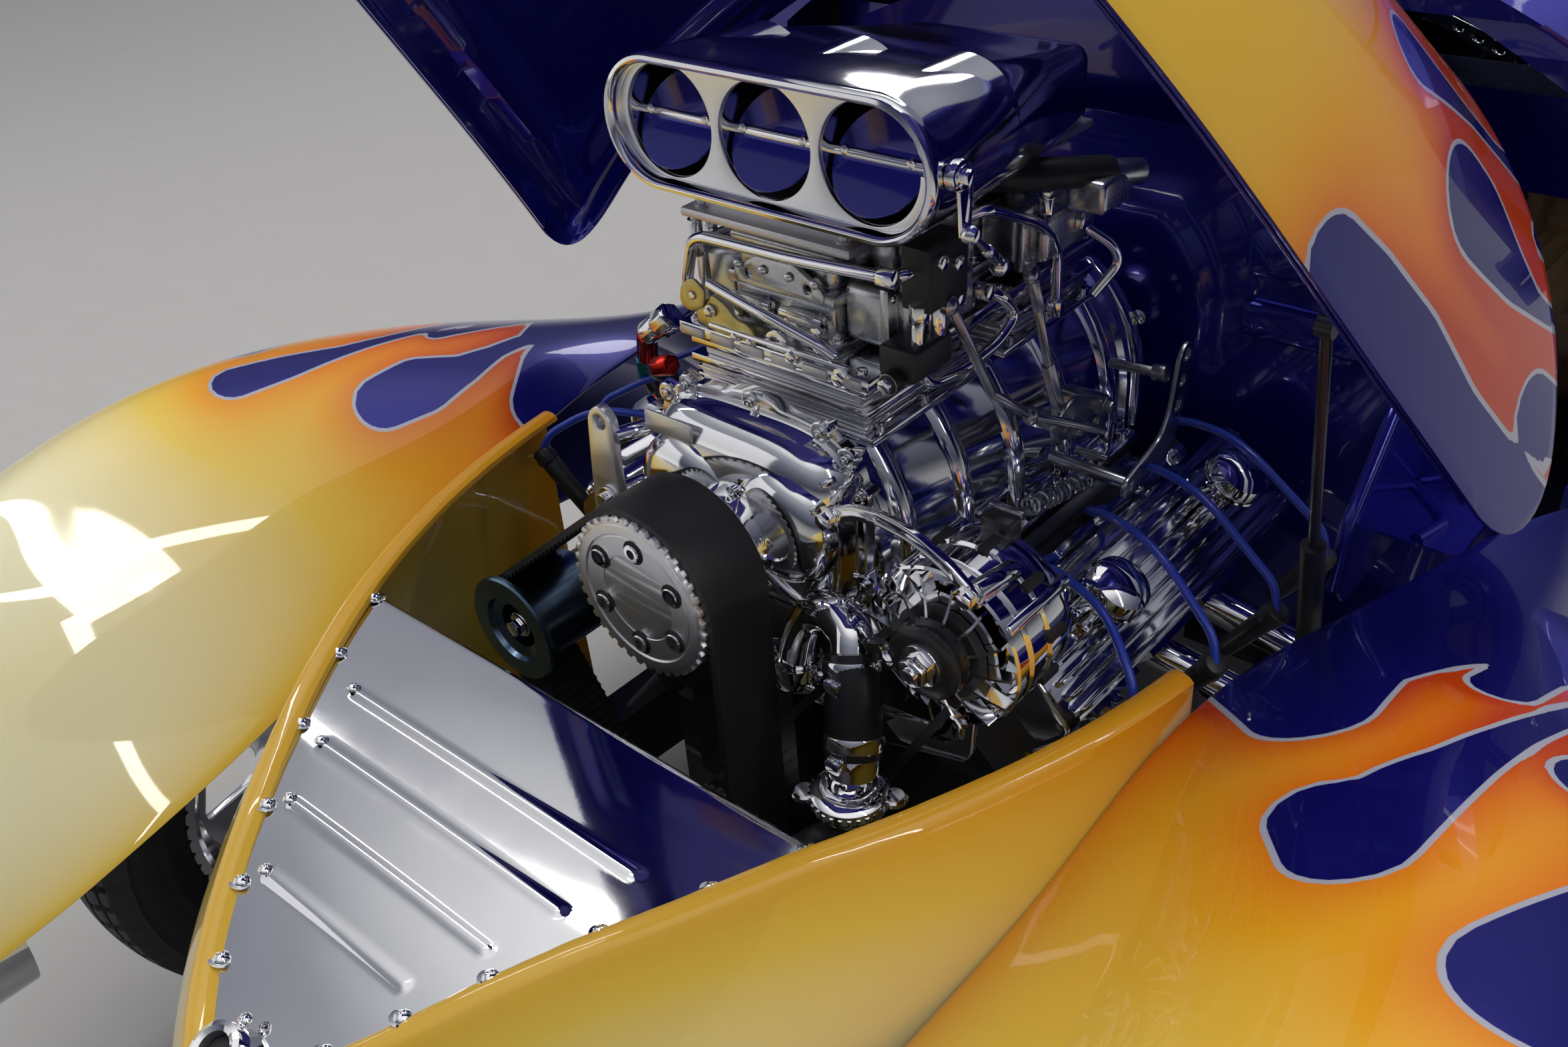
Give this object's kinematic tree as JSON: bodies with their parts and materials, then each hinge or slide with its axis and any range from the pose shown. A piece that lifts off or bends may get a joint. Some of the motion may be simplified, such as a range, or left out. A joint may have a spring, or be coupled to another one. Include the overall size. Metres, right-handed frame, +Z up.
{
  "type": "coupe hot rod",
  "caption": "Fat-fendered coupe hot rod, rear-hinged one-piece hood raised over a supercharged V-engine with a triple-hole air scoop; opening doors and decklid.",
  "frame": {"origin": "on the ground, under the centre of the whole car with its hood open", "axes": "+X to the car's left, -Y forward, +Z up"},
  "size_m": [1.744, 4.07, 1.818],
  "materials": {
    "paint": "gloss",
    "frame_paint": "satin",
    "chrome": "polished",
    "aluminium": "polished",
    "steel": "satin",
    "iron": "cast",
    "rubber": "matt",
    "tyre": "matt",
    "glass": "clear",
    "leather": "satin",
    "blue_anodised": "anodised",
    "dark_plastic": "matt",
    "lamp_red": "gloss"
  },
  "bodies": {
    "chassis": {"body_shell": "paint", "fixed_glass": "glass", "nose_shell": "paint", "grille": "chrome", "radiator_cover": "chrome", "radiator": "aluminium", "front_fenders": "paint", "rear_fenders": "paint", "running_boards": "paint", "bay_panels": "paint", "frame": "frame_paint", "cross_members": "frame_paint", "front_axle": "chrome", "driveline": "iron", "floor": "frame_paint", "seats": "leather", "dashboard": "paint", "steering_column": "chrome", "fuel_tank": "frame_paint", "exhaust": "chrome", "engine_block": "iron", "valve_covers": "aluminium", "intake_manifold": "aluminium", "blower_case": "aluminium", "blower_cover": "aluminium", "drive_pulleys": "aluminium", "belts": "rubber", "alternator": "chrome", "accessory_brackets": "aluminium", "carb_adapters": "aluminium", "carburettors": "aluminium", "scoop": "aluminium", "butterflies": "blue_anodised", "fuel_lines": "chrome", "throttle_linkage": "steel", "filler_neck": "chrome", "ignition": "dark_plastic", "headlamp_bowls": "chrome", "headlamp_lenses": "glass", "tail_lamps": "lamp_red"},
    "hood": {"hood": "paint"},
    "strut_tube": {"strut_tube": "dark_plastic"},
    "strut_rod": {"strut_rod": "steel"},
    "door_left": {"door_left": "paint", "door_glass_left": "glass"},
    "door_right": {"door_right": "paint", "door_glass_right": "glass"},
    "decklid": {"decklid": "paint"},
    "knuckle_left": {"knuckle_left": "steel"},
    "knuckle_right": {"knuckle_right": "steel"},
    "wheel_front_left": {"rim_front_left": "chrome", "tyre_front_left": "tyre"},
    "wheel_front_right": {"rim_front_right": "chrome", "tyre_front_right": "tyre"},
    "wheel_rear_left": {"rim_rear_left": "chrome", "tyre_rear_left": "tyre"},
    "wheel_rear_right": {"rim_rear_right": "chrome", "tyre_rear_right": "tyre"}
  },
  "joints": [
    {"name": "hood_hinge", "type": "hinge", "parent": "chassis", "child": "hood", "pos_m": [0, -0.69, 1.24], "axis": [1, 0, 0], "range_deg": [0, 48.7]},
    {"name": "strut_foot", "type": "hinge", "parent": "chassis", "child": "strut_tube", "pos_m": [0.434, -1, 0.6], "axis": [1, 0, 0], "range_deg": [-49.56, 0]},
    {"name": "strut_slide", "type": "slide", "parent": "strut_tube", "child": "strut_rod", "axis": [0, -0.206, 0.9785], "range_m": [-0.2092, 0]},
    {"name": "door_hinge_left", "type": "hinge", "parent": "chassis", "child": "door_left", "pos_m": [0.622, -0.545, 0.8], "axis": [0, 0, -1], "range_deg": [0, 62]},
    {"name": "door_hinge_right", "type": "hinge", "parent": "chassis", "child": "door_right", "pos_m": [-0.622, -0.545, 0.8], "axis": [0, 0, 1], "range_deg": [0, 62]},
    {"name": "decklid_hinge", "type": "hinge", "parent": "chassis", "child": "decklid", "pos_m": [0, 1.366, 1.11], "axis": [1, 0, 0], "range_deg": [0, 55]},
    {"name": "steer_left", "type": "hinge", "parent": "chassis", "child": "knuckle_left", "pos_m": [0.59, -1.47, 0.32], "axis": [0, 0, 1], "range_deg": [-26, 26]},
    {"name": "spin_front_left", "type": "hinge", "parent": "knuckle_left", "child": "wheel_front_left", "pos_m": [0.69, -1.47, 0.32], "axis": [1, 0, 0], "continuous": true},
    {"name": "spin_rear_left", "type": "hinge", "parent": "chassis", "child": "wheel_rear_left", "pos_m": [0.66, 1.13, 0.372], "axis": [1, 0, 0], "continuous": true},
    {"name": "steer_right", "type": "hinge", "parent": "chassis", "child": "knuckle_right", "pos_m": [-0.59, -1.47, 0.32], "axis": [0, 0, 1], "range_deg": [-26, 26]},
    {"name": "spin_front_right", "type": "hinge", "parent": "knuckle_right", "child": "wheel_front_right", "pos_m": [-0.69, -1.47, 0.32], "axis": [1, 0, 0], "continuous": true},
    {"name": "spin_rear_right", "type": "hinge", "parent": "chassis", "child": "wheel_rear_right", "pos_m": [-0.66, 1.13, 0.372], "axis": [1, 0, 0], "continuous": true}
  ],
  "couplings": [
    {"joint": "steer_right", "follows": "steer_left", "ratio": 1},
    {"joint": "strut_foot", "follows": "hood_hinge", "ratio": -0.99103},
    {"joint": "strut_slide", "follows": "hood_hinge", "m_per_rad": -0.24348}
  ]
}
